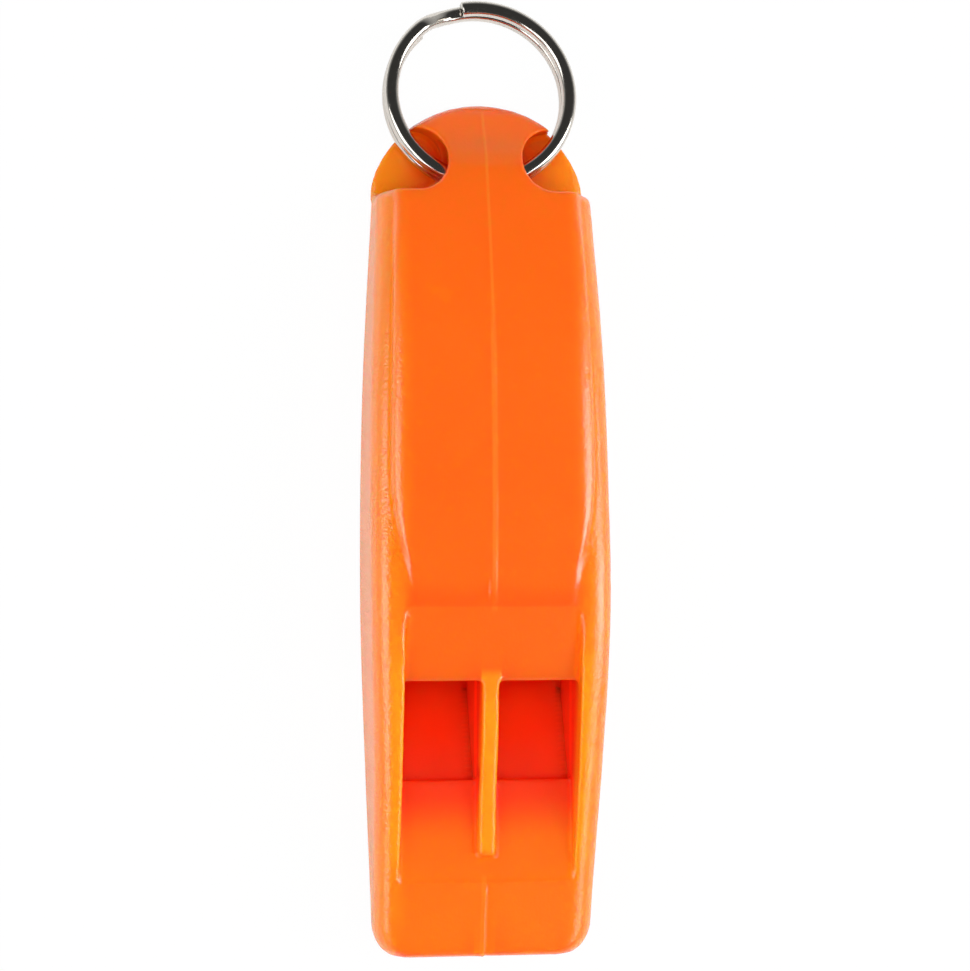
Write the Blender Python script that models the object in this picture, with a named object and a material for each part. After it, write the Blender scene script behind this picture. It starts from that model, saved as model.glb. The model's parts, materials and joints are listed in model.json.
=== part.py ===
"""Safety whistle with a split ring: a moulded twin-chamber body, the cover that closes its back
and carries the two windway floors, and a two-turn steel ring through the eye.

The whistle lies on its back: X across, Y from the mouth end towards the ring, Z up from the table.
The origin is the middle of the flat back. Stations along the whistle are measured in millimetres
from the mouth end, and heights from the back.
"""

import math

import bmesh
import bpy

MM = 0.001
CLEARANCE = 0.3

# Overall sizes, in millimetres
LENGTH = 70.3
SHOULDER = 62.7
OVERRUN = 3.0

# How finely the rounded forms are stepped
EDGE_POINTS = 5
SECTION_STEP = 2.0
END_ANGLE_STEP = 15
DOME_STEPS = 10
DOME_ANGLE = 88.0
SHARP_ANGLE = 35.0

# A corner's rounding takes less than half of a section's height or width
MOST_ROUND = 0.48

# Half width, top and back of the frame, as (station, size) pairs: the back is flat, and lifts
# under the mouthpiece
FRAME_HALF_WIDTH = [(0.0, 8.98), (14.5, 9.35), (29.0, 9.8), (46.0, 9.68), (62.7, 8.92)]
FRAME_TOP = [(0.0, 6.1), (6.2, 7.4), (11.0, 8.65), (14.5, 9.6), (18.0, 10.2), (22.0, 10.85),
             (29.0, 11.25), (33.0, 11.05), (38.0, 10.4), (46.0, 9.75), (54.0, 8.65), (62.7, 6.9)]
FRAME_BACK = [(0.0, 2.3), (5.0, 1.9), (11.0, 0.75), (18.0, 0.0), (20.0, 0.0), (62.7, 0.0)]
FRAME_TOP_RADIUS = [(0.0, 1.6), (29.0, 1.7), (46.0, 2.0), (54.0, 2.1), (62.7, 2.2)]
FRAME_BACK_RADIUS = 1.6
MOUTH_CORNER_ACROSS = 2.0
MOUTH_CORNER_ALONG = 2.7
MOUTH_EDGE_RADIUS = 0.5
MOUTH_BACK_RADIUS = 0.8
SHOULDER_RADIUS = 0.7

# The raised crown on the frame, which runs on as the tab that holds the ring
CROWN_START = 26.0
CROWN_HALF_WIDTH = [(26.0, 6.5), (31.0, 6.8), (33.5, 7.45), (36.8, 8.15), (40.0, 8.3), (46.0, 8.2),
                    (58.0, 7.85), (62.7, 7.75), (66.0, 8.65)]
CROWN_TOP = [(26.0, 11.28), (31.0, 11.33), (35.0, 11.5), (40.0, 11.3), (48.0, 10.65), (55.0, 9.5),
             (60.0, 8.15), (62.8, 7.2), (65.1, 6.5), (67.5, 5.1), (70.3, 3.6)]
CROWN_EDGE_DOWN = [(26.0, 0.1), (31.0, 0.2), (34.0, 0.45), (39.0, 0.65), (58.0, 0.65)]
CROWN_EDGE_ACROSS = [(26.0, 0.3), (31.0, 0.3), (33.5, 0.5), (36.8, 1.25), (40.0, 1.6), (58.0, 1.7)]
CROWN_ROOT = 2.5
TAB_START = 58.0
TAB_CENTRE = 62.5
TAB_TAPER = 1.85
TAB_RADIUS = 0.9
TAB_SPREAD = [(58.0, 0.0), (62.5, 1.25), (66.0, 0.35)]
TAB_BACK = 0.25

# The front recess: the windway roof, the window, the labium ramp and the rib between the windows
RECESS_HALF_WIDTH = 7.2
RECESS_START = 6.3
ROOF_START_HEIGHT = 7.3
ROOF_EDGE = 14.6
ROOF_EDGE_HEIGHT = 6.8
LABIUM_EDGE = 22.8
LABIUM_HEIGHT = 9.4
RAMP_TOP = 28.95
RAMP_TOP_HEIGHT = 11.3
WINDOW_FLOOR = 6.0
RAMP_SLOPE = (RAMP_TOP_HEIGHT - LABIUM_HEIGHT) / (RAMP_TOP - LABIUM_EDGE)
RIB_HALF_WIDTH = 0.7
RIB_TOP = [(8.45, 7.7), (13.4, 8.1), (18.0, 9.25), (23.45, 9.6)]
RIB_ROOT = 4.0
RIB_SUNK = 1.2

# Chambers and windways inside: the chambers differ in length, so that they sound two notes
CHAMBER_START = 16.0
CHAMBER_ENDS = {"left": 52.0, "right": 46.0}
CHAMBER_HALF_WIDTH = 7.1
WALL_HALF_WIDTH = 0.85
CHAMBER_CEILING = 8.95
CHAMBER_LEVEL_END = 36.0
CHAMBER_FALL = 0.135
WINDWAY_CEILING = 4.75
WINDWAY_BEND = 8.0
WINDWAY_RISE = 0.235
WINDWAY_HEIGHT = 1.3
MOUTH_WALL = 2.2
MOUTH_LIP = 0.1
MOUTH_OVERLAP = 0.5
MOUTH_SLOT_INNER = 1.0
MOUTH_SLOT_OUTER = 6.5

# The back cover and its seat
COVER_START = 2.5
COVER_END = 55.0
COVER_INSET = 1.45
COVER_THICKNESS = 1.2
COVER_CORNER = 1.6
BLOCK_ROOT = 0.6
BLOCK_LEAD_OUT = 9.0

# The eye: two side slots joined by a tunnel under the stem
SLOT_START = 62.8
SLOT_END = 68.15
SLOT_FLOOR = 1.5
SLOT_HEIGHT = 12.0
SLOT_REACH = 14.0
SLOT_ROUNDING = 0.97
SLOT_SEGMENTS = 8
STEM_HALF_WIDTH = 3.08
TUNNEL_CENTRE = 64.55
TUNNEL_HEIGHT = 3.7
TUNNEL_HALF_LENGTH = 2.6
TUNNEL_HALF_HEIGHT = 1.85
TUNNEL_SEGMENTS = 28

# The split ring
RING_OUTER = 16.2
WIRE = 1.2
LAYER_PITCH = 1.64
RING_SEAT = 63.75
RING_SEAT_HEIGHT = 3.8
RING_AXIS = 64.3
RING_AXIS_HEIGHT = 3.85
TABLE_CLEARANCE = 0.05
RING_POINTS_PER_TURN = 48
RING_END_ANGLE = 349.0
RING_CROSSING = 26.0
RING_END_GAP = 9.0
RING_BEVEL_STEPS = 3

# Colours and roughness of the finishes
ORANGE = (0.97, 0.155, 0.012, 1.0)
DEEP_ORANGE = (0.90, 0.11, 0.010, 1.0)
STEEL = (0.62, 0.61, 0.59, 1.0)
PLASTIC_ROUGHNESS = 0.42
STEEL_ROUGHNESS = 0.2


def smooth_curve(points):
    """Return a function that runs smoothly through (station, value) points."""
    slopes = []
    for index in range(len(points)):
        before = points[max(index - 1, 0)]
        after = points[min(index + 1, len(points) - 1)]
        slopes.append((after[1] - before[1]) / (after[0] - before[0]))

    def value(station):
        station = min(max(station, points[0][0]), points[-1][0])
        index = 0
        while index < len(points) - 2 and station > points[index + 1][0]:
            index += 1
        (start, low), (end, high) = points[index], points[index + 1]
        span = end - start
        part = (station - start) / span
        stay = 2 * part ** 3 - 3 * part ** 2 + 1
        leave = part ** 3 - 2 * part ** 2 + part
        arrive = part ** 3 - part ** 2
        bend = leave * slopes[index] + arrive * slopes[index + 1]
        return stay * low + (1 - stay) * high + span * bend

    return value


def rounded_end(distance, along, across):
    """How far a rounded end draws the surface in at a distance from that end."""
    if distance >= along:
        return 0.0
    part = (along - max(distance, 0.0)) / along
    return across * (1 - math.sqrt(1 - part * part))


def section(half_width, low, high, low_radius, high_down, high_across, spread=0.0):
    """Points (x, z) all round a rectangle with rounded corners, whose foot can spread."""
    most = MOST_ROUND * min(high - low, 2 * half_width)
    low_radius = min(low_radius, most)
    high_down = min(high_down, most)
    high_across = min(high_across, most)
    foot = (half_width + spread, low + low_radius, low_radius, low_radius)
    head = (half_width, high - high_down, high_down, high_across)
    points = []
    for side, corner, start in ((1, foot, -90), (1, head, 0), (-1, head, 90), (-1, foot, 180)):
        reach, centre_z, down, across = corner
        centre_x = side * (reach - across)
        for step in range(EDGE_POINTS + 1):
            angle = math.radians(start + 90 * step / EDGE_POINTS)
            points.append((centre_x + across * math.cos(angle), centre_z + down * math.sin(angle)))
    return points


def place(x, station, z):
    """A point in the whistle's own measures, as metres in the shared frame."""
    return (x * MM, (station - LENGTH / 2) * MM, z * MM)


def finish_mesh(name, mesh_builder, collection):
    """Close a bmesh into a named object in a collection."""
    bmesh.ops.recalc_face_normals(mesh_builder, faces=mesh_builder.faces)
    mesh = bpy.data.meshes.new(name)
    mesh_builder.to_mesh(mesh)
    mesh_builder.free()
    mesh.shade_smooth()
    mesh.set_sharp_from_angle(angle=math.radians(SHARP_ANGLE))
    piece = bpy.data.objects.new(name, mesh)
    collection.objects.link(piece)
    return piece


def loft(name, sections, collection):
    """Skin a stack of (station, points) sections that have equal numbers of points."""
    builder = bmesh.new()
    rings = []
    for station, points in sections:
        rings.append([builder.verts.new(place(x, station, z)) for x, z in points])
    for ring, following in zip(rings, rings[1:]):
        count = len(ring)
        for index in range(count):
            after = (index + 1) % count
            builder.faces.new((ring[index], ring[after], following[after], following[index]))
    builder.faces.new(rings[0])
    builder.faces.new(rings[-1])
    return finish_mesh(name, builder, collection)


def prism(name, profile, x_from, x_to, collection):
    """Extrude a side profile of (station, z) points across the whistle."""
    builder = bmesh.new()
    face = builder.faces.new([builder.verts.new(place(x_from, station, z)) for station, z in profile])
    grown = bmesh.ops.extrude_face_region(builder, geom=[face])
    moved = [item for item in grown["geom"] if isinstance(item, bmesh.types.BMVert)]
    bmesh.ops.translate(builder, verts=moved, vec=((x_to - x_from) * MM, 0, 0))
    return finish_mesh(name, builder, collection)


def mark_cutter(piece):
    """Keep a cutter out of the model and draw it as wires."""
    piece.hide_render = True
    piece.display_type = "WIRE"


def combine(piece, tool, operation):
    """Add, or cut away, a tool's shape with an exact Boolean."""
    mark_cutter(tool)
    modifier = piece.modifiers.new(operation.lower() + "_" + tool.name, "BOOLEAN")
    modifier.operation = operation
    modifier.solver = "EXACT"
    modifier.object = tool


def even_shading(piece):
    """Shade a cut piece by its larger faces, so that flat faces look flat."""
    shading = piece.modifiers.new("even_shading", "WEIGHTED_NORMAL")
    shading.keep_sharp = True


def give_material(piece, name, colour, roughness, metallic):
    """Give a piece its own Principled material."""
    material = bpy.data.materials.new(name)
    material.use_nodes = True
    shader = material.node_tree.nodes["Principled BSDF"]
    shader.inputs["Base Color"].default_value = colour
    shader.inputs["Roughness"].default_value = roughness
    shader.inputs["Metallic"].default_value = metallic
    piece.data.materials.append(material)


def stations_between(start, end, start_round=0.0, end_round=0.0):
    """Stations for a loft: even steps, with closer ones over a rounded end."""
    close = [math.sin(math.radians(angle)) ** 2 for angle in range(0, 90, END_ANGLE_STEP)]
    first = start + start_round
    last = end - end_round
    count = max(1, round((last - first) / SECTION_STEP))
    found = [start + start_round * part for part in close] if start_round else []
    found += [first + (last - first) * index / count for index in range(count + 1)]
    if end_round:
        found += [end - end_round * part for part in reversed(close)]
    return found


half_width_at = smooth_curve(FRAME_HALF_WIDTH)
frame_top_at = smooth_curve(FRAME_TOP)
frame_back_curve = smooth_curve(FRAME_BACK)
frame_top_radius_at = smooth_curve(FRAME_TOP_RADIUS)
crown_half_width_at = smooth_curve(CROWN_HALF_WIDTH)
crown_top_at = smooth_curve(CROWN_TOP)
crown_edge_down_at = smooth_curve(CROWN_EDGE_DOWN)
crown_edge_across_at = smooth_curve(CROWN_EDGE_ACROSS)
tab_spread_at = smooth_curve(TAB_SPREAD)


def back_at(station):
    """Height of the back above the table: flat, then lifting under the mouthpiece."""
    return max(frame_back_curve(station), 0.0)


def windway_ceiling_at(station):
    """Height of the windway's ceiling: level at the mouth, then climbing towards the labium."""
    return WINDWAY_CEILING + WINDWAY_RISE * max(station - WINDWAY_BEND, 0.0)


def frame_section(station):
    """Section of the frame: mouthpiece, rails and the sides up to the shoulder."""
    at_mouth = rounded_end(station, MOUTH_CORNER_ALONG, MOUTH_CORNER_ACROSS)
    mouth_edge = rounded_end(station, MOUTH_EDGE_RADIUS, MOUTH_EDGE_RADIUS)
    at_shoulder = rounded_end(SHOULDER - station, SHOULDER_RADIUS, SHOULDER_RADIUS)
    half_width = half_width_at(station) - at_mouth - at_shoulder
    low = back_at(station) + rounded_end(station, MOUTH_BACK_RADIUS, MOUTH_BACK_RADIUS)
    high = frame_top_at(station) - mouth_edge - at_shoulder
    top_radius = frame_top_radius_at(station)
    return section(half_width, low, high, FRAME_BACK_RADIUS, top_radius, top_radius)


def crown_section(station):
    """Section of the crown, which widens into the dome-shaped tab past the shoulder."""
    in_tab = min(max((station - TAB_START) / (TAB_CENTRE - TAB_START), 0.0), 1.0)
    along_tab = min(max((station - TAB_CENTRE) / (LENGTH - TAB_CENTRE), 0.0), 1.0)
    half_width = crown_half_width_at(station) * math.sqrt(1 - along_tab ** TAB_TAPER)
    tip = rounded_end(LENGTH - station, TAB_RADIUS, TAB_RADIUS)
    low = CROWN_ROOT + (TAB_BACK - CROWN_ROOT) * in_tab + tip
    high = crown_top_at(station) - tip
    down = crown_edge_down_at(station) * (1 - in_tab) + TAB_RADIUS * in_tab
    across = crown_edge_across_at(station) * (1 - in_tab) + TAB_RADIUS * in_tab
    return section(half_width, low, high, TAB_RADIUS, down, across, tab_spread_at(station))


def make_body_blank(parts, tools):
    """The solid outside of the whistle: the frame joined to the crown and tab."""
    frame_stations = stations_between(0.0, SHOULDER, MOUTH_CORNER_ALONG, SHOULDER_RADIUS)
    body = loft("whistle_body", [(s, frame_section(s)) for s in frame_stations], parts)
    crown_stations = stations_between(CROWN_START, TAB_CENTRE)
    for step in range(1, DOME_STEPS + 1):
        angle = math.radians(DOME_ANGLE * step / DOME_STEPS)
        crown_stations.append(TAB_CENTRE + (LENGTH - TAB_CENTRE) * math.sin(angle))
    crown = loft("crown_and_tab", [(s, crown_section(s)) for s in crown_stations], tools)
    combine(body, crown, "UNION")
    return body


def cut_recess(body, tools):
    """Cut the front recess: windway roof, open window and labium ramp between the two rails."""
    above = RAMP_TOP_HEIGHT + OVERRUN
    far = RAMP_TOP + OVERRUN / RAMP_SLOPE
    profile = [(RECESS_START, above), (RECESS_START, ROOF_START_HEIGHT), (ROOF_EDGE, ROOF_EDGE_HEIGHT),
               (ROOF_EDGE, WINDOW_FLOOR), (LABIUM_EDGE, WINDOW_FLOOR), (LABIUM_EDGE, LABIUM_HEIGHT),
               (far, above)]
    recess = prism("front_recess", profile, -RECESS_HALF_WIDTH, RECESS_HALF_WIDTH, tools)
    combine(body, recess, "DIFFERENCE")


def windway_profile(start, end, ceiling_drop):
    """Side profile of a windway between two stations, with its ceiling lowered a little."""
    return [(start, windway_ceiling_at(start) - WINDWAY_HEIGHT),
            (start, windway_ceiling_at(start) - ceiling_drop),
            (end, windway_ceiling_at(end) - ceiling_drop),
            (end, windway_ceiling_at(end) - WINDWAY_HEIGHT)]


def cut_chambers(body, tools):
    """Hollow the two chambers and windways from the back, and open the windways at the mouth."""
    for name, side in (("left", -1), ("right", 1)):
        end = CHAMBER_ENDS[name]
        end_ceiling = CHAMBER_CEILING - CHAMBER_FALL * (end - CHAMBER_LEVEL_END)
        ceiling = [(s, windway_ceiling_at(s)) for s in (MOUTH_WALL, WINDWAY_BEND, CHAMBER_START)]
        profile = [(MOUTH_WALL, -OVERRUN), *ceiling, (CHAMBER_START, CHAMBER_CEILING),
                   (CHAMBER_LEVEL_END, CHAMBER_CEILING), (end, end_ceiling), (end, -OVERRUN)]
        chamber = prism("chamber_" + name, profile, side * WALL_HALF_WIDTH, side * CHAMBER_HALF_WIDTH, tools)
        combine(body, chamber, "DIFFERENCE")
        slot = windway_profile(-OVERRUN, MOUTH_WALL + MOUTH_OVERLAP, MOUTH_LIP)
        mouth = prism("mouth_slot_" + name, slot, side * MOUTH_SLOT_INNER, side * MOUTH_SLOT_OUTER, tools)
        combine(body, mouth, "DIFFERENCE")


def add_rib(body, tools):
    """Raise the wall between the chambers into the rib that stands between the windows."""
    (start, _), (end, end_height) = RIB_TOP[0], RIB_TOP[-1]
    profile = [(start, RIB_ROOT), *RIB_TOP, (end + RIB_SUNK, end_height), (end + RIB_SUNK, RIB_ROOT)]
    rib = prism("window_rib", profile, -RIB_HALF_WIDTH, RIB_HALF_WIDTH, tools)
    combine(body, rib, "UNION")


def cover_sections(below, above, grow):
    """Sections of the cover's plate, which follows the back, grown all round for its seat."""
    start = COVER_START - grow
    end = COVER_END + grow
    found = []
    for station in stations_between(start, end, COVER_CORNER, COVER_CORNER):
        corner = rounded_end(min(station - start, end - station), COVER_CORNER, COVER_CORNER)
        half_width = half_width_at(station) - COVER_INSET + grow - corner
        low = back_at(station) - below
        high = back_at(station) + above
        points = [(half_width, low), (half_width, high), (-half_width, high), (-half_width, low)]
        found.append((station, points))
    return found


def cut_cover_seat(body, tools):
    """Sink a seat for the cover into the back."""
    depth = COVER_THICKNESS + CLEARANCE
    seat = loft("cover_seat", cover_sections(OVERRUN, depth, CLEARANCE), tools)
    combine(body, seat, "DIFFERENCE")


def cut_eye(body, tools):
    """Cut the two side slots and the tunnel that takes the ring."""
    middle = (SLOT_START + SLOT_END) / 2
    length = SLOT_END - SLOT_START
    width = SLOT_REACH - STEM_HALF_WIDTH
    for name, side in (("left", -1), ("right", 1)):
        centre = side * (STEM_HALF_WIDTH + width / 2)
        builder = bmesh.new()
        bmesh.ops.create_cube(builder, size=1.0)
        for vert in builder.verts:
            x, y, z = vert.co
            vert.co = place(centre + width * x, middle + length * y, SLOT_FLOOR + SLOT_HEIGHT * (0.5 + z))
        upright = [e for e in builder.edges if abs(e.verts[0].co.z - e.verts[1].co.z) > SLOT_HEIGHT * MM / 2]
        bmesh.ops.bevel(builder, geom=upright, offset=SLOT_ROUNDING * length / 2 * MM,
                        segments=SLOT_SEGMENTS, profile=0.5, affect="EDGES")
        slot = finish_mesh("eye_slot_" + name, builder, tools)
        combine(body, slot, "DIFFERENCE")
    builder = bmesh.new()
    bmesh.ops.create_cone(builder, cap_ends=True, segments=TUNNEL_SEGMENTS,
                          radius1=1.0, radius2=1.0, depth=1.0)
    for vert in builder.verts:
        x = (2 * STEM_HALF_WIDTH + length) * vert.co.z
        station = TUNNEL_CENTRE + TUNNEL_HALF_LENGTH * vert.co.x
        vert.co = place(x, station, TUNNEL_HEIGHT + TUNNEL_HALF_HEIGHT * vert.co.y)
    tunnel = finish_mesh("eye_tunnel", builder, tools)
    combine(body, tunnel, "DIFFERENCE")


def make_body(parts, tools):
    """The whistle's one-piece moulded body."""
    body = make_body_blank(parts, tools)
    cut_recess(body, tools)
    cut_chambers(body, tools)
    add_rib(body, tools)
    cut_cover_seat(body, tools)
    cut_eye(body, tools)
    even_shading(body)
    give_material(body, "orange_body_plastic", ORANGE, PLASTIC_ROUGHNESS, 0.0)
    return body


def make_cover(parts, tools):
    """The back cover, with a block under each windway that slopes down into its chamber."""
    cover = loft("back_cover", cover_sections(0.0, COVER_THICKNESS, 0.0), parts)
    start = MOUTH_WALL + CLEARANCE
    for name, side in (("left", -1), ("right", 1)):
        stations = (start, WINDWAY_BEND, ROOF_EDGE)
        lead_out = ROOF_EDGE + BLOCK_LEAD_OUT
        roots = [(s, back_at(s) + BLOCK_ROOT) for s in (lead_out, *reversed(stations))]
        floor = [(s, windway_ceiling_at(s) - WINDWAY_HEIGHT) for s in stations]
        inner = side * (WALL_HALF_WIDTH + CLEARANCE)
        outer = side * (CHAMBER_HALF_WIDTH - CLEARANCE)
        block = prism("windway_block_" + name, roots + floor, inner, outer, tools)
        combine(cover, block, "UNION")
    even_shading(cover)
    give_material(cover, "orange_cover_plastic", DEEP_ORANGE, PLASTIC_ROUGHNESS, 0.0)
    return cover


def ring_points():
    """Centre line of the ring's wire in its own plane, with its seat in the eye at the origin."""
    radius = (RING_OUTER - WIRE) / 2
    sweep = 2 * 360.0 - RING_CROSSING - RING_END_GAP
    count = round(RING_POINTS_PER_TURN * sweep / 360.0)
    points = []
    for index in range(count + 1):
        turned = sweep * index / count
        part = (turned - (360.0 - RING_CROSSING - RING_END_GAP)) / RING_CROSSING
        part = min(max(part, 0.0), 1.0)
        level = LAYER_PITCH * (0.5 - part * part * (3 - 2 * part))
        angle = math.radians(RING_END_ANGLE + turned)
        points.append((radius * math.sin(angle), radius + radius * math.cos(angle), level))
    return points


def least_gap(points):
    """Least clear distance between parts of the wire that are half a turn or more apart."""
    apart = RING_POINTS_PER_TURN // 2
    least = RING_OUTER
    for index, point in enumerate(points):
        for other in points[index + apart:]:
            least = min(least, math.dist(point, other))
    return least - WIRE


def ring_droop():
    """Angle at which the ring hangs from its seat until its far end lies on the table."""
    reach = RING_OUTER - WIRE
    pack = (LAYER_PITCH + WIRE) / 2
    return math.asin((RING_SEAT_HEIGHT - pack - TABLE_CLEARANCE) / reach)


def make_ring(parts):
    """The split ring: one wire wound twice, which crosses over just before its own end.

    It swings on an axis across the eye. Its parent empty stands on that axis, and the wire rests
    on the lower side of the eye, a little off it.
    """
    hinge = bpy.data.objects.new("ring_axis", None)
    hinge.location = place(0.0, RING_AXIS, RING_AXIS_HEIGHT)
    parts.objects.link(hinge)
    curve = bpy.data.curves.new("split_ring", "CURVE")
    curve.dimensions = "3D"
    curve.bevel_depth = WIRE / 2 * MM
    curve.bevel_resolution = RING_BEVEL_STEPS
    curve.use_fill_caps = True
    points = ring_points()
    spline = curve.splines.new("POLY")
    spline.points.add(len(points) - 1)
    for target, (x, y, z) in zip(spline.points, points):
        target.co = (x * MM, y * MM, z * MM, 1.0)
    ring = bpy.data.objects.new("split_ring", curve)
    parts.objects.link(ring)
    ring.parent = hinge
    ring.location = (0.0, (RING_SEAT - RING_AXIS) * MM, (RING_SEAT_HEIGHT - RING_AXIS_HEIGHT) * MM)
    ring.rotation_euler = (-ring_droop(), 0.0, 0.0)
    give_material(ring, "nickel_plated_steel", STEEL, STEEL_ROUGHNESS, 1.0)
    print("split ring: least gap between its turns %.3f mm" % least_gap(points))
    print("split ring: droop to the table %.2f degrees" % math.degrees(ring_droop()))
    return ring


def make_collection(name):
    """A new collection in the scene."""
    collection = bpy.data.collections.new(name)
    bpy.context.scene.collection.children.link(collection)
    return collection


def main():
    """Build the whistle."""
    for old in list(bpy.data.objects):
        bpy.data.objects.remove(old, do_unlink=True)
    parts = make_collection("safety_whistle")
    tools = make_collection("cutters")
    make_body(parts, tools)
    make_cover(parts, tools)
    make_ring(parts)


main()
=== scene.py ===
# %% [markdown]
# # A pealess safety whistle and its split ring
# The whistle is one orange moulding with a cover on its back, and a steel split ring swings in the eye
# at its end. The imported solids give every size and place. This script gives the surfaces: soft moulded
# edges, plastic that glows where it is thin, partly by scattering and partly by painted glow, and plated
# wire. It could be drawn from nothing, but starting from the solids keeps each surface where the real
# piece is. Light is allowed many bounces, because what comes out of a window has met several orange walls.

# %% Load the imported frame
import bmesh
import bpy
import json
import math
from mathutils import Matrix, Vector


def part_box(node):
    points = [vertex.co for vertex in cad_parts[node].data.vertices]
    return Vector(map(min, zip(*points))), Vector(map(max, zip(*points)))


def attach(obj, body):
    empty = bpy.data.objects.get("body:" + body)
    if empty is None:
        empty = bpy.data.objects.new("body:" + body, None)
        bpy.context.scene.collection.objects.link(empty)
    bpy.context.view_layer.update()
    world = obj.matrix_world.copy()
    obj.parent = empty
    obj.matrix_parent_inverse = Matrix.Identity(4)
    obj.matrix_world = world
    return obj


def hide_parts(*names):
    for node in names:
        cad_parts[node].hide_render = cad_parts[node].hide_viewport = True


MM = 0.001
LIGHT_BOUNCES = 32
DIFFUSE_BOUNCES = 24
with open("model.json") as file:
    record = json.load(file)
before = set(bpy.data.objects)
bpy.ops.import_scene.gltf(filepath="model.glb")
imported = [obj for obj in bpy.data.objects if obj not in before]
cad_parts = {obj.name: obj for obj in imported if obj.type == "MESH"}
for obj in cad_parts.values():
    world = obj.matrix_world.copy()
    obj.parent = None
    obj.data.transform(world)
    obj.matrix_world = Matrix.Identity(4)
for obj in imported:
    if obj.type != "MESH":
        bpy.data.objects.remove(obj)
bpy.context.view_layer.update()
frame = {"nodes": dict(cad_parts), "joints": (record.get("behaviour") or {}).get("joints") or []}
scene = bpy.context.scene
scene.view_settings.view_transform = "Standard"
scene.cycles.max_bounces = LIGHT_BOUNCES
scene.cycles.diffuse_bounces = DIFFUSE_BOUNCES

# %% [markdown]
# ## The camera
# The whistle was photographed from almost straight above, a little from its left, by a lens about 23 cm
# away. A lens that near shows the far side wall slightly and spreads the raised front, so the distance
# matters as much as the angle. The lean, the tilt and the roll are written as angles, and the focal
# length as the picture's own pixels, which turn into millimetres of lens through the picture's width.

# %% Place the camera
PICTURE_WIDTH = 970
SENSOR = 36.0
CAMERA_DISTANCE = 230 * MM
CAMERA_LEAN = math.radians(8.985)
CAMERA_TILT = math.radians(0.692)
CAMERA_ROLL = math.radians(0.126)
FOCAL_PIXELS = 2762.9
AIM = Vector((0.473, 3.502, 3.0)) * MM
NEAREST_SEEN = 10 * MM

towards_camera = Vector((-math.sin(CAMERA_LEAN) * math.cos(CAMERA_TILT), -math.sin(CAMERA_TILT),
                         math.cos(CAMERA_LEAN) * math.cos(CAMERA_TILT)))
right = Vector((0, 1, 0)).cross(towards_camera).normalized()
up = towards_camera.cross(right)
camera = bpy.data.objects.new("camera", bpy.data.cameras.new("camera"))
camera.data.sensor_width = SENSOR
camera.data.lens = FOCAL_PIXELS * SENSOR / PICTURE_WIDTH
camera.data.clip_start = NEAREST_SEEN
camera.matrix_world = (Matrix.Translation(AIM + towards_camera * CAMERA_DISTANCE)
                       @ Matrix((right, up, towards_camera)).transposed().to_4x4()
                       @ Matrix.Rotation(CAMERA_ROLL, 4, "Z"))
scene.collection.objects.link(camera)
scene.camera = camera
print("camera: lens %.1f mm at %.0f mm" % (camera.data.lens, CAMERA_DISTANCE / MM))

# %% [markdown]
# ## Soft edges on the moulded pieces
# A mould has no knife edges: every corner of the plastic carries a small radius. A bevel on each edge
# would do, but the solids are full of edges that come from cutting. It is simpler to wrap the whole
# solid in an even skin of small faces, a voxel remesh, and to smooth that skin a few times. The more
# rounds, the larger the radius at every corner, while flat and gently curved faces keep their place.

# %% Skin a solid and round its edges
SKIN_STEP = 0.19 * MM
SKIN_ROUNDS = 5
ROUND_SHARE = 0.5
WELD = 0.001 * MM


def keep_evaluated_mesh(piece):
    """Bake a piece's modifiers into its mesh."""
    evaluated = piece.evaluated_get(bpy.context.evaluated_depsgraph_get())
    made = bpy.data.meshes.new_from_object(evaluated)
    piece.modifiers.clear()
    piece.data = made
    made.shade_smooth()


def moulded_copy(node, name):
    """A new piece with the node's shape, an even skin and soft edges."""
    mesh = frame["nodes"][node].data.copy()
    mesh.materials.clear()
    builder = bmesh.new()
    builder.from_mesh(mesh)
    bmesh.ops.remove_doubles(builder, verts=builder.verts, dist=WELD)
    builder.to_mesh(mesh)
    builder.free()
    piece = bpy.data.objects.new(name, mesh)
    scene.collection.objects.link(piece)
    skin = piece.modifiers.new("skin", "REMESH")
    skin.mode = "VOXEL"
    skin.voxel_size = SKIN_STEP
    soften = piece.modifiers.new("soften", "SMOOTH")
    soften.iterations = SKIN_ROUNDS
    soften.factor = ROUND_SHARE
    keep_evaluated_mesh(piece)
    print(name, "has", len(piece.data.polygons), "faces")
    return piece


body = moulded_copy("whistle_body", "moulded_body")
cover = moulded_copy("back_cover", "moulded_back_cover")

# %% [markdown]
# The real cover is welded in, and the two blocks that it carries under the windways touch the chamber
# walls. The solids keep a small gap there, which would show as a dark line in the windows. A new block
# could be drawn, but it is enough to push the sides of these two into the walls, where they show in the
# windows.

# %% Close the gap beside the cover's blocks
COVER_INSIDE = 1.5 * MM
BLOCK_OUTSIDE = 7.4 * MM
UNDER_ROOF = -24.5 * MM
BLOCK_PUSH = 0.95 * MM
SIDE_SLOPE = 0.15
widened = 0
for vert in cover.data.vertices:
    in_block = vert.co.z > COVER_INSIDE and abs(vert.co.x) < BLOCK_OUTSIDE and vert.co.y > UNDER_ROOF
    if in_block and abs(vert.normal.x) > SIDE_SLOPE:
        vert.co.x += math.copysign(BLOCK_PUSH, vert.normal.x)
        widened += 1
print("blocks widened at", widened, "points")

# %% [markdown]
# ## The parting line
# The body comes out of a mould that opens left and right. Where its halves met, a low ridge runs along
# the middle of the front, and the halves were not quite level: past the window the right one stands
# higher, at the mouth the left one does. The slide that forms the recess leaves no line there. A bump
# map would not catch the light as this does, so the skin's faces are cut finer along the middle and
# their points are pushed out along their normals.

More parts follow.
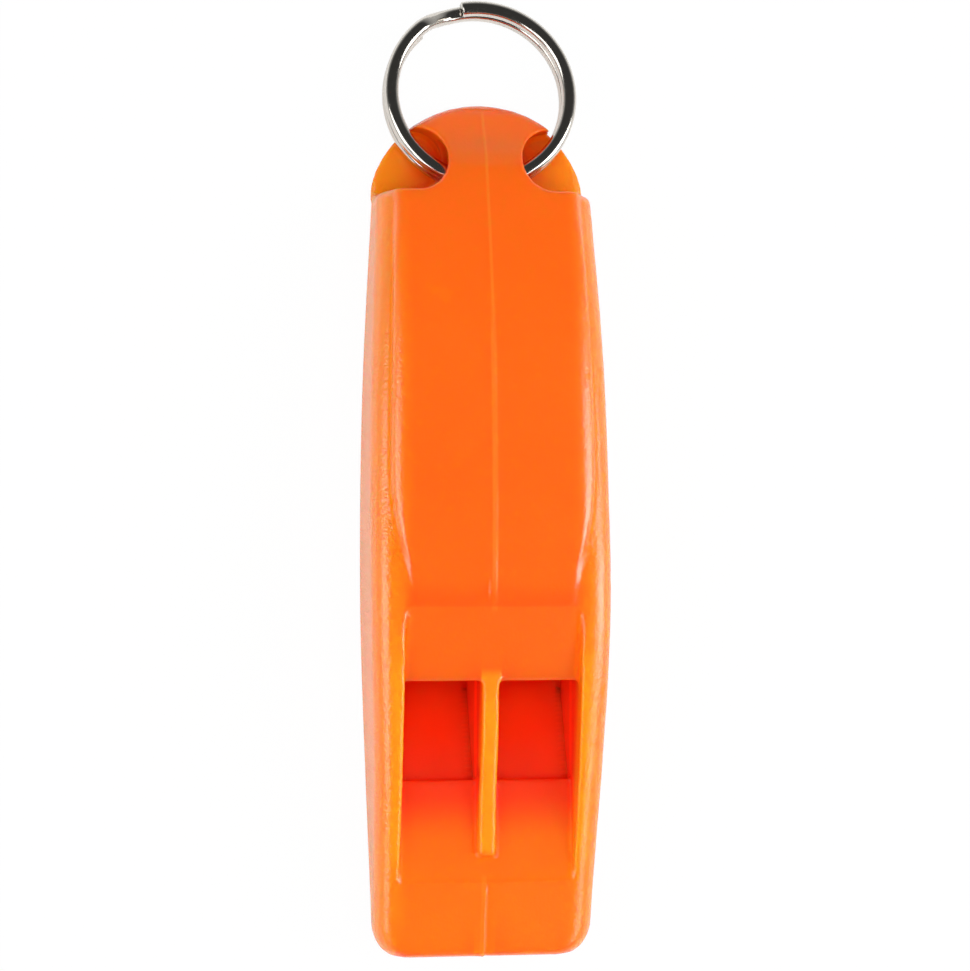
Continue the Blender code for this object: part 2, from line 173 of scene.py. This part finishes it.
# %% The parting line's height
RIDGE_HALF = 0.14 * MM
RIDGE_HEIGHT = 0.05 * MM
STEP_HALF = 0.07 * MM
STEP_REACH = 0.45 * MM
FADE = 1.0 * MM
FAINT_LEVEL = 0.7
FAINT_WAVE = 0.3
FAINT_SPELL = 2.2 * MM
SECOND_WAVE = 1.7
WAVE_SHIFT = 1.0
PARTING_RUNS = [
    # (place across, start, end, height of the right half over the left), in mm from the middle
    (0.0, -6.1, 36.0, 0.03),
    (-0.55, -6.1, -3.7, 0.0),
    (0.0, -36.0, -29.0, -0.1),
]


def parting_rise(x, y):
    """How far the parting line lifts the front at a point."""
    rise = 0.0
    for middle, start, end, step in PARTING_RUNS:
        share = min(max(min(y - start * MM, end * MM - y) / FADE, 0.0), 1.0)
        offset = x - middle * MM
        first = math.sin(y / FAINT_SPELL)
        second = math.sin(SECOND_WAVE * y / FAINT_SPELL + WAVE_SHIFT)
        faint = FAINT_LEVEL + FAINT_WAVE * first * second
        ridge = RIDGE_HEIGHT * faint * math.exp(-(offset / RIDGE_HALF) ** 2)
        shelf = step / 2 * MM * math.tanh(offset / STEP_HALF) * math.exp(-(offset / STEP_REACH) ** 2)
        rise += share * (ridge + shelf)
    return rise


print("parting line: %.3f mm high in the middle of the front" % (parting_rise(0, 0) / MM))

# %% Raise the parting line
FINE_REACH = 0.7 * MM
FINE_CUTS = 2
INSIDE_BELOW = 3.0 * MM
FACING_FRONT = 0.2
builder = bmesh.new()
builder.from_mesh(body.data)
near_line = {}
for face in builder.faces:
    spot = face.calc_center_median()
    on_front = spot.z > INSIDE_BELOW and face.normal.z > FACING_FRONT
    if on_front and abs(spot.x) < FINE_REACH and parting_rise(0, spot.y):
        near_line.update(dict.fromkeys(face.edges))
bmesh.ops.subdivide_edges(builder, edges=list(near_line), cuts=FINE_CUTS, use_grid_fill=True)
builder.normal_update()
moves = []
for vert in builder.verts:
    outward = max(vert.normal.z, -vert.normal.y, 0.0)
    if abs(vert.co.x) < 2 * FINE_REACH and vert.co.z > INSIDE_BELOW and outward > 0:
        moves.append((vert, vert.normal * outward * parting_rise(vert.co.x, vert.co.y)))
for vert, move in moves:
    vert.co += move
builder.to_mesh(body.data)
builder.free()
print("parting line on", len(moves), "points")

# %% [markdown]
# The even skin spends most of its faces on flat walls. A decimate modifier merges those and keeps the
# small faces where the surface bends, so that the piece stays light enough to share.

# %% Merge the faces of the flat walls
MOST_TRIANGLES = 190000


def merge_flats(piece):
    """Bring a piece under the triangle limit, flat places first."""
    triangles = sum(len(face.vertices) - 2 for face in piece.data.polygons)
    if triangles > MOST_TRIANGLES:
        thin = piece.modifiers.new("merge", "DECIMATE")
        thin.ratio = MOST_TRIANGLES / triangles
        keep_evaluated_mesh(piece)
    print(piece.name, "now has", len(piece.data.polygons), "faces")


merge_flats(body)
merge_flats(cover)

# %% [markdown]
# ## The split ring
# A split ring is one spring wire wound twice and pressed flat, so its turns touch, and just before its
# end the front turn steps down behind its own start. A curve with a round bevel would draw it, but the
# wire is flattened where the turns meet, so its rounded section is swept along the winding by hand.

# %% The ring's measures
RING_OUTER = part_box("split_ring")[1].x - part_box("split_ring")[0].x
WIRE_WIDE = 1.22 * MM
WIRE_THICK = 1.18 * MM
TURN_GAP = 0.03 * MM
SQUARENESS = 2.6
SEAT_BEFORE_AXIS = 0.55 * MM
SEAT_UNDER_AXIS = 0.05 * MM
REST_GAP = 0.03 * MM

axis_place = Vector(frame["joints"][0]["pos_m"])
seat = axis_place - Vector((0, SEAT_BEFORE_AXIS, SEAT_UNDER_AXIS))
pitch = WIRE_THICK + TURN_GAP
wire_radius = (RING_OUTER - WIRE_WIDE) / 2
droop = math.asin((seat.z - (pitch + WIRE_THICK) / 2 - REST_GAP) / (2 * wire_radius))
ring_place = Matrix.Translation(seat) @ Matrix.Rotation(-droop, 4, "X")
print("ring: outer %.1f mm, droop %.1f degrees" % (RING_OUTER / MM, math.degrees(droop)))

# %% The wire's section and its winding
END_ANGLE = 349.0
CROSSING = 24.0
END_GAP = 6.0
SECTION_POINTS = 24
sweep = 2 * 360.0 - CROSSING - END_GAP


def wire_section(share):
    """Points of the wire's rounded section, as (outward, along the winding axis)."""
    points = []
    for index in range(SECTION_POINTS):
        angle = 2 * math.pi * index / SECTION_POINTS
        wide = math.copysign(abs(math.cos(angle)) ** (2 / SQUARENESS), math.cos(angle))
        thick = math.copysign(abs(math.sin(angle)) ** (2 / SQUARENESS), math.sin(angle))
        points.append((wide * WIRE_WIDE / 2 * share, thick * WIRE_THICK / 2 * share))
    return points


def winding(turned):
    """Direction outward and level of the wire after so many degrees of winding."""
    part = (turned - (360.0 - CROSSING - END_GAP)) / CROSSING
    part = min(max(part, 0.0), 1.0)
    level = pitch * (0.5 - part * part * (3 - 2 * part))
    angle = math.radians(END_ANGLE + turned)
    return Vector((math.sin(angle), math.cos(angle), 0)), level


print("wire: wound through %.0f degrees" % sweep)

# %% Wind the ring
STEPS_PER_TURN = 180
END_BEVEL = 0.12 * MM
BEVEL_STOPS = [(0.0, 0.8), (0.35, 0.93)]  # (share of the bevel's length, share of the wire's section)
SHARP_ANGLE = math.radians(50)
steps = round(STEPS_PER_TURN * sweep / 360.0)
bevel_turn = math.degrees(END_BEVEL / wire_radius)
stops = [(bevel_turn * part, share) for part, share in BEVEL_STOPS]
stops += [(bevel_turn + (sweep - 2 * bevel_turn) * i / steps, 1.0) for i in range(steps + 1)]
stops += [(sweep - bevel_turn * part, share) for part, share in reversed(BEVEL_STOPS)]
builder = bmesh.new()
before = None
centre = Vector((0, wire_radius, 0))
for turned, share in stops:
    outward, level = winding(turned)
    loop = []
    for wide, thick in wire_section(share):
        point = centre + outward * (wire_radius + wide) + Vector((0, 0, level + thick))
        loop.append(builder.verts.new(ring_place @ point))
    if before is None:
        builder.faces.new(loop)
    else:
        for one in range(SECTION_POINTS):
            two = (one + 1) % SECTION_POINTS
            builder.faces.new((before[one], before[two], loop[two], loop[one]))
    before = loop
builder.faces.new(before)
bmesh.ops.recalc_face_normals(builder, faces=builder.faces)
ring_mesh = bpy.data.meshes.new("wound_split_ring")
builder.to_mesh(ring_mesh)
builder.free()
ring_mesh.shade_smooth()
ring_mesh.set_sharp_from_angle(angle=SHARP_ANGLE)
ring = bpy.data.objects.new("wound_split_ring", ring_mesh)
scene.collection.objects.link(ring)
print(ring.name, "has", len(ring_mesh.polygons), "faces")

# %% [markdown]
# ## Orange moulded plastic
# Safety whistles are moulded from ABS or polypropylene, dyed right through. The dye lets red light
# through further than green, so thin rails glow amber, and deep hollows that see only other orange walls
# turn red. Subsurface scattering with a long red radius does part of both, and painted glow and painted
# shade further down do the rest. The mould's surface is spark-eroded, which leaves a fine even grain that
# breaks up highlights. Grain of 0.05 mm would not show, so it is drawn at 0.24 mm. The mesh's own bend,
# its pointiness, finds the inside corners and the sharp edges, and the gloss is dimmed on both: in the
# inside corners as painted shade on their reflection, on the edges so that their thin lines of light stay
# faint. The IOR is that of ABS, and the sheen level above it is set by the bands of light on the rails.

# %% Colour and node helpers


def colour(code):
    """An sRGB hex code as a linear RGBA colour."""
    parts = [int(code[i:i + 2], 16) / 255 for i in (1, 3, 5)]
    linear = [p / 12.92 if p <= 0.04045 else ((p + 0.055) / 1.055) ** 2.4 for p in parts]
    return (*linear, 1.0)


def add_node(tree, kind, settings=None, links=None):
    """Add a node, set its sockets and properties, and link its inputs."""
    node = tree.nodes.new(kind)
    for name, value in (settings or {}).items():
        if isinstance(name, int) or name in node.inputs:
            node.inputs[name].default_value = value
        else:
            setattr(node, name, value)
    for name, source in (links or {}).items():
        tree.links.new(source, node.inputs[name])
    return node


def new_material(name):
    """An empty node material, with its tree and output node."""
    material = bpy.data.materials.new(name)
    material.use_nodes = True
    material.node_tree.nodes.clear()
    output = add_node(material.node_tree, "ShaderNodeOutputMaterial")
    return material, material.node_tree, output


print("the safety orange #ff680b in linear light:", [round(part, 3) for part in colour("#ff680b")[:3]])

# %% Orange ABS
ABS_IOR = 1.57
SHEEN_LEVEL = 0.85
GRAIN = 0.24 * MM
GRAIN_DEPTH = 0.06 * MM
FRONT_GRAIN = 0.25
POLISH = (0.18, 0.28)  # roughness
INSIDE_CORNER = (0.483, 0.495)  # pointiness, where 0.5 is flat
# Share of the gloss left in the inside corners, a painted shade on their reflection.
SHADED_CORNER_SHEEN = 0.05
SHARP_EDGE = (0.515, 0.54)
EDGE_SHEEN = 0.35
CLOUD = 9 * MM
SCATTER_REACH = 2.2 * MM
SCATTER_BY_COLOUR = (1.0, 0.08, 0.02)


def orange_abs(name, deep, bright):
    """Dyed ABS with a moulded grain, slightly uneven in colour, as (material, colour node, shader)."""
    material, tree, output = new_material(name)
    place = add_node(tree, "ShaderNodeTexCoord").outputs["Object"]
    cloud = add_node(tree, "ShaderNodeTexNoise", {"Scale": 1 / CLOUD, "Detail": 2.0}, {"Vector": place})
    tint = add_node(tree, "ShaderNodeMix", {"data_type": "RGBA", 6: colour(deep), 7: colour(bright)},
                    {0: cloud.outputs["Fac"]})
    grain = add_node(tree, "ShaderNodeTexNoise", {"Scale": 1 / GRAIN, "Detail": 2.0}, {"Vector": place})
    bump = add_node(tree, "ShaderNodeBump", {"Strength": FRONT_GRAIN, "Distance": GRAIN_DEPTH},
                    {"Height": grain.outputs["Fac"]})
    polish = add_node(tree, "ShaderNodeMapRange", {"To Min": POLISH[0], "To Max": POLISH[1]},
                      {"Value": grain.outputs["Fac"]})
    bend = add_node(tree, "ShaderNodeNewGeometry").outputs["Pointiness"]
    # Painted shade on the gloss: it is dimmed in the inside corners, and on sharp edges as well.
    corner = add_node(tree, "ShaderNodeMapRange",
                      {"From Min": INSIDE_CORNER[0], "From Max": INSIDE_CORNER[1], "To Min": SHADED_CORNER_SHEEN},
                      {"Value": bend})
    edge = add_node(tree, "ShaderNodeMapRange",
                    {"From Min": SHARP_EDGE[0], "From Max": SHARP_EDGE[1], "To Min": 1.0,
                     "To Max": EDGE_SHEEN}, {"Value": bend})
    dulled = add_node(tree, "ShaderNodeMath", {"operation": "MINIMUM"},
                      {0: corner.outputs["Result"], 1: edge.outputs["Result"]})
    plastic = add_node(tree, "ShaderNodeBsdfPrincipled",
                       {"IOR": ABS_IOR, "Specular IOR Level": SHEEN_LEVEL, "Subsurface Weight": 1.0,
                        "Subsurface Scale": SCATTER_REACH, "Subsurface Radius": SCATTER_BY_COLOUR},
                       {"Base Color": tint.outputs[2], "Normal": bump.outputs["Normal"],
                        "Roughness": polish.outputs["Result"], "Specular Tint": dulled.outputs[0]})
    tree.links.new(plastic.outputs["BSDF"], output.inputs["Surface"])
    return material, tint, plastic


body_plastic, body_tint, body_shader = orange_abs("orange_abs_moulded", "#ff680b", "#ff6e0f")
cover_plastic, cover_tint, cover_shader = orange_abs("orange_abs_cover", "#ff660b", "#ff6b0e")
print("plastic:", body_plastic.name, cover_plastic.name)

# %% [markdown]
# The dye is even, but the colour is not: it changes with the wall's thickness and with the light that
# gets there. Soft masks in the whistle's own millimetres mark such places, and lay another colour over the
# orange: painted glow, painted light and painted shade. Painted points would do as well, but masks need no
# fine mesh.

# %% Masks in the whistle's own measures


def spot_in(tree):
    """The place of a surface point in the whistle's frame, as X, Y and Z sockets."""
    place = add_node(tree, "ShaderNodeTexCoord").outputs["Object"]
    return add_node(tree, "ShaderNodeSeparateXYZ", {}, {0: place}).outputs


def soft_mask(*limits):
    """A mask that is 1 past every limit, each given as (measure, where it starts, where it is full) in mm."""
    mask = None
    for measure, start, full in limits:
        tree = measure.id_data
        edge = add_node(tree, "ShaderNodeMapRange",
                        {"interpolation_type": "SMOOTHSTEP", "From Min": start * MM, "From Max": full * MM},
                        {"Value": measure}).outputs["Result"]
        if mask:
            edge = add_node(tree, "ShaderNodeMath", {"operation": "MULTIPLY"}, {0: mask, 1: edge}).outputs[0]
        mask = edge
    return mask


def paint(under, code, mask, share=1.0):
    """Lay a colour over another where a mask is, and return the mixed colour."""
    tree = mask.id_data
    strength = add_node(tree, "ShaderNodeMath", {"operation": "MULTIPLY", 1: share}, {0: mask}).outputs[0]
    mixed = add_node(tree, "ShaderNodeMix", {"data_type": "RGBA", 7: colour(code)}, {0: strength, 6: under})
    return mixed.outputs[2]


body_spot = spot_in(body_plastic.node_tree)
across, along, height = body_spot["X"], body_spot["Y"], body_spot["Z"]
aside = add_node(body_plastic.node_tree, "ShaderNodeMath", {"operation": "ABSOLUTE"}, {0: across}).outputs[0]

# %% [markdown]
# The rails are where fingers hold the whistle. There the mould's grain was left coarser, and it breaks
# their bands of light into specks, while the front was finished finer. One bump serves both, and the same
# kind of mask sets how strong it is.

# %% Coarser grain on the rails
RAIL_GRAIN = 0.8
grip = soft_mask((aside, 6.9, 8.2))
grain_strength = add_node(body_plastic.node_tree, "ShaderNodeMapRange",
                          {"To Min": FRONT_GRAIN, "To Max": RAIL_GRAIN}, {"Value": grip}).outputs["Result"]
grain_bump = body_shader.inputs["Normal"].links[0].from_node
body_plastic.node_tree.links.new(grain_strength, grain_bump.inputs["Strength"])
print("grain: %.2f on the front, %.2f on the rails" % (FRONT_GRAIN, RAIL_GRAIN))

# %% [markdown]
# Along the parting line a film of plastic was squeezed out between the mould's halves and trimmed. The
# paler colour along the line is painted light, standing in for the light that catches the low ridge and
# its thin film. Just above the edge that the slide left, the foot of the crown gets a painted shade, a
# slightly deeper orange.

# %% Painted light along the parting line and painted shade at the foot of the crown
PAINTED_RIDGE_LIGHT = "#ff7c1c"
FOOT_SHADE_ORANGE = "#ff5a0a"
FOOT_SHADE_SHARE = 0.65
front_line = soft_mask((aside, 0.34, 0.12), (height, 3.5, 4.5), (along, -7.0, -6.0), (along, 20.0, 14.0))
dome_line = soft_mask((aside, 0.2, 0.04), (height, 3.5, 4.5), (along, 14.0, 20.0))
mouth_line = soft_mask((across, -0.5, -0.3), (across, 0.05, -0.05), (height, 4.5, 5.5), (along, -28.0, -29.0))
painted = body_tint.outputs[2]
# Painted light: a paler colour along the parting line's ridge.
for line in (front_line, dome_line, mouth_line):
    painted = paint(painted, PAINTED_RIDGE_LIGHT, line)
# Painted shade: a deeper orange at the foot of the crown.
crown_foot_shade = soft_mask((along, -3.9, -6.1), (along, -6.4, -6.2), (aside, 7.4, 7.1), (height, 9.0, 10.0))
painted = paint(painted, FOOT_SHADE_ORANGE, crown_foot_shade, FOOT_SHADE_SHARE)
print("flash along the parting line, and a deeper foot of the crown")

# %% [markdown]
# The rails, the rib and the plate of the eye are thin walls that light enters from more than one side.
# There more of the yellow light comes out again before the dye takes it, so they look amber. The
# mouthpiece is hollow and turns a little that way too. This glow is painted: an amber laid over the
# orange.

# %% Painted amber glow where the walls are thin
GLOW_AMBER = "#ff9a10"
mouthpiece = soft_mask((along, -22.0, -32.0))
rail_edge = soft_mask((aside, 6.2, 8.6))
rib = soft_mask((height, 6.9, 7.7), (aside, 0.9, 0.7), (along, -27.0, -26.0), (along, -11.2, -12.2))
rail_rim = soft_mask((height, 6.9, 7.7), (aside, 7.1, 7.2), (aside, 8.9, 7.8), (along, -30.0, -26.0),
                     (along, -7.0, -13.0))
eye_plate = soft_mask((along, 26.6, 27.4), (height, 2.4, 1.7), (aside, 3.2, 8.0))
# Each mask lays the painted amber glow over the orange.
for glowing_wall, share in ((mouthpiece, 0.22), (rail_edge, 0.62), (rib, 1.0),
                         (rail_rim, 1.0), (eye_plate, 0.6)):
    painted = paint(painted, GLOW_AMBER, glowing_wall, share)
print("amber on the rails, the rib and the eye's plate")

# %% [markdown]
# Light that gets down into the recess and the eye has already met other orange walls, and each meeting
# leaves it redder. The renderer's bounces do much of this. The rest is painted shade: a red laid over the
# orange with depth, beside the rib and the rails, in the eye and on the cover's chamber floor.

# %% Painted shade: red down in the hollows
SHADE_RED = "#ff3a12"
EYE_SHADE_RED = "#ff5e0a"
RAIL_ENDS = [(-29 * MM, 7.4 * MM), (-13 * MM, 10.9 * MM)]  # (place along, height of the rail's top)
(rail_start, low_top), (rail_end, high_top) = RAIL_ENDS
rail_top = add_node(body_plastic.node_tree, "ShaderNodeMapRange",
                    {"From Min": rail_start, "From Max": rail_end, "To Min": low_top, "To Max": high_top},
                    {"Value": along}).outputs["Result"]
depth = add_node(body_plastic.node_tree, "ShaderNodeMath", {"operation": "SUBTRACT"},
                 {0: rail_top, 1: height}).outputs[0]
recess = soft_mask((depth, 0.9, 3.4), (aside, 7.4, 7.2), (along, 18.0, 14.0))
roof_end = soft_mask((along, -26.5, -20.5), (along, -19.0, -20.0), (aside, 7.2, 7.1), (depth, 0.9, 2.0))
eye = soft_mask((along, 25.5, 26.5), (along, 33.0, 32.0), (height, 5.2, 3.6), (aside, 6.5, 3.2))
beside_rib = soft_mask((aside, 2.6, 0.95), (aside, 0.8, 0.95), (depth, 0.4, 2.4), (along, -9.0, -12.0))
beside_rails = soft_mask((aside, 5.6, 7.1), (aside, 7.4, 7.2), (depth, 0.4, 2.4), (along, -9.0, -12.0))
# Painted shade: red beside the rib and the rails, in the recess, at the roof's end and in the eye.
for hollow, code, share in ((beside_rib, SHADE_RED, 0.45), (beside_rails, SHADE_RED, 0.45),
                            (recess, SHADE_RED, 1.0), (roof_end, SHADE_RED, 1.0), (eye, EYE_SHADE_RED, 1.0)):
    painted = paint(painted, code, hollow, share)
body_plastic.node_tree.links.new(painted, body_shader.inputs["Base Color"])
cover_spot = spot_in(cover_plastic.node_tree)
# Painted shade on the floor of the cover's chambers.
chamber_floor = soft_mask((cover_spot["Z"], 0.5, 1.1), (cover_spot["Y"], -23.0, -21.0))
painted = paint(cover_tint.outputs[2], SHADE_RED, chamber_floor)
cover_plastic.node_tree.links.new(painted, cover_shader.inputs["Base Color"])
print("red in the recess, the eye and the chambers")

# %% [markdown]
# ## Nickel-plated spring steel
# Split rings are wound from drawn wire and tumbled after plating, so the nickel is bright with a slight
# warm cast and carries faint scuffs. A metal keeps the default IOR, its colour is its reflection, and the
# scuffs are a fine noise in the roughness.

# %% Nickel
NICKEL = "#d3cec6"
NICKEL_POLISH = (0.06, 0.22)
SCUFF = 0.4 * MM
SCUFF_DEPTH = 0.006 * MM
SCUFF_STRENGTH = 0.25
nickel, tree, output = new_material("nickel_plated_steel")
place = add_node(tree, "ShaderNodeTexCoord").outputs["Object"]
scuffs = add_node(tree, "ShaderNodeTexNoise", {"Scale": 1 / SCUFF, "Detail": 4.0}, {"Vector": place})
polish = add_node(tree, "ShaderNodeMapRange", {"To Min": NICKEL_POLISH[0], "To Max": NICKEL_POLISH[1]},
                  {"Value": scuffs.outputs["Fac"]})
dents = add_node(tree, "ShaderNodeBump", {"Strength": SCUFF_STRENGTH, "Distance": SCUFF_DEPTH},
                 {"Height": scuffs.outputs["Fac"]})
steel = add_node(tree, "ShaderNodeBsdfPrincipled",
                 {"Base Color": colour(NICKEL), "Metallic": 1.0},
                 {"Roughness": polish.outputs["Result"], "Normal": dents.outputs["Normal"]})
tree.links.new(steel.outputs["BSDF"], output.inputs["Surface"])
print("metal:", nickel.name)

# %% [markdown]
# ## Dress the frame
# Each new piece takes the place of its solid, moves with that solid's body, and takes its material, so
# the whistle and the ring can be posed and repainted.

# %% Materials and bodies
for piece, node, carrier, slot, finish in ((body, "whistle_body", "whistle", "body_plastic", body_plastic),
                                           (cover, "back_cover", "whistle", "cover_plastic", cover_plastic),
                                           (ring, "split_ring", "ring", "ring_steel", nickel)):
    piece.data.materials.append(finish)
    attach(piece, carrier)
    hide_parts(node)

# %% [markdown]
# ## White table and soft light
# The whistle lies on a white sheet. The camera sees it as plain white, while a reflection shows it partly
# as it is lit, with the soft shadow beside the whistle, so the side walls do not turn pale. A picture of a
# sheet would not take that shadow.

# %% Table
TABLE_SIZE = 3.0
TABLE_DROP = 0.02 * MM
table_mesh = bpy.data.meshes.new("table")
builder = bmesh.new()
bmesh.ops.create_grid(builder, x_segments=1, y_segments=1, size=TABLE_SIZE)
builder.to_mesh(table_mesh)
builder.free()
table = bpy.data.objects.new("table", table_mesh)
table.location.z = -TABLE_DROP
scene.collection.objects.link(table)
print("table: %.0f m wide, %.2f mm under the whistle" % (2 * TABLE_SIZE, TABLE_DROP / MM))

# %% White sheet
WHITE = "#ffffff"
PAPER = "#f2f2f2"
WHITE_TO_CAMERA = 0.97
WHITE_IN_GLOSS = 0.2
sheet, tree, output = new_material("white_sheet")
rays = add_node(tree, "ShaderNodeLightPath").outputs
straight = add_node(tree, "ShaderNodeMath", {"operation": "MULTIPLY", 1: WHITE_TO_CAMERA},
                    {0: rays["Is Camera Ray"]})
mirrored = add_node(tree, "ShaderNodeMath", {"operation": "MAXIMUM"},
                    {0: rays["Is Glossy Ray"], 1: rays["Is Transmission Ray"]})
mirrored = add_node(tree, "ShaderNodeMath", {"operation": "MULTIPLY", 1: WHITE_IN_GLOSS},
                    {0: mirrored.outputs[0]})
share = add_node(tree, "ShaderNodeMath", {"operation": "MAXIMUM"},
                 {0: straight.outputs[0], 1: mirrored.outputs[0]})
paper = add_node(tree, "ShaderNodeBsdfDiffuse", {"Color": colour(PAPER)})
white = add_node(tree, "ShaderNodeEmission", {"Color": colour(WHITE), "Strength": 1.0})
mixed = add_node(tree, "ShaderNodeMixShader", {},
                 {0: share.outputs[0], 1: paper.outputs["BSDF"], 2: white.outputs["Emission"]})
tree.links.new(mixed.outputs["Shader"], output.inputs["Surface"])
table_mesh.materials.append(sheet)
print("sheet: white to the camera, %.0f%% white in reflections" % (100 * WHITE_IN_GLOSS))

# %% [markdown]
# Two softboxes to the sides draw the bands of light along the rails, and two small ones towards the mouth
# draw the spots on its corners. A large one overhead fills the windows. A photographer keeps such a lamp
# out of the gloss with polarising filters, and here its part in glossy reflections is switched off.

# %% Softboxes
SOFTBOX_DISTANCE = 0.55
SOFTBOXES = [
    # name, degrees from overhead to the right, degrees round to the mouth, length and height in metres,
    # watts, shown in the gloss
    ("right", 52, 0, 0.26, 0.34, 1.4, True),
    ("left", -47, 0, 0.30, 0.36, 0.92, True),
    ("right_mouth", 48, 42, 0.18, 0.18, 0.32, True),
    ("left_mouth", -50, -36, 0.18, 0.18, 0.32, True),
    ("top", 0, 0, 0.40, 0.40, 2.0, False),
]
for name, lean, turn, length, tall, watts, shown in SOFTBOXES:
    light = bpy.data.lights.new("softbox_" + name, "AREA")
    light.shape = "RECTANGLE"
    light.size = length
    light.size_y = tall
    light.energy = watts
    lamp = bpy.data.objects.new("softbox_" + name, light)
    lean = math.radians(lean)
    turn = math.radians(turn)
    side = math.sin(lean)
    lamp.location = Vector((side * math.cos(turn), -side * math.sin(turn), math.cos(lean))) * SOFTBOX_DISTANCE
    lamp.rotation_mode = "QUATERNION"
    lamp.rotation_quaternion = (-lamp.location).to_track_quat("-Z", "Y")
    lamp.visible_glossy = shown
    scene.collection.objects.link(lamp)
print("lights:", [softbox[0] for softbox in SOFTBOXES])

# %% [markdown]
# Around them the studio is bright low down and dark overhead, and that darkness draws the dark line along
# the top of the wire. To the camera itself the far wall is white, like the sheet.

# %% Studio
LOW_WALL = (0.05, 0.55)  # (height of the direction, light)
OVERHEAD = (0.6, 0.045)
world = bpy.data.worlds.new("studio")
world.use_nodes = True
scene.world = world
tree = world.node_tree
tree.nodes.clear()
direction = add_node(tree, "ShaderNodeTexCoord").outputs["Generated"]
upward = add_node(tree, "ShaderNodeSeparateXYZ", {}, {0: direction}).outputs["Z"]
fade = add_node(tree, "ShaderNodeMapRange",
                {"From Min": LOW_WALL[0], "From Max": OVERHEAD[0],
                 "To Min": LOW_WALL[1], "To Max": OVERHEAD[1]}, {"Value": upward})
rays = add_node(tree, "ShaderNodeLightPath").outputs
wall = add_node(tree, "ShaderNodeMath", {"operation": "MAXIMUM"},
                {0: fade.outputs["Result"], 1: rays["Is Camera Ray"]})
room = add_node(tree, "ShaderNodeBackground", {"Color": colour(WHITE)}, {"Strength": wall.outputs[0]})
add_node(tree, "ShaderNodeOutputWorld", {}, {"Surface": room.outputs["Background"]})
print("studio: bright low down, dark overhead")
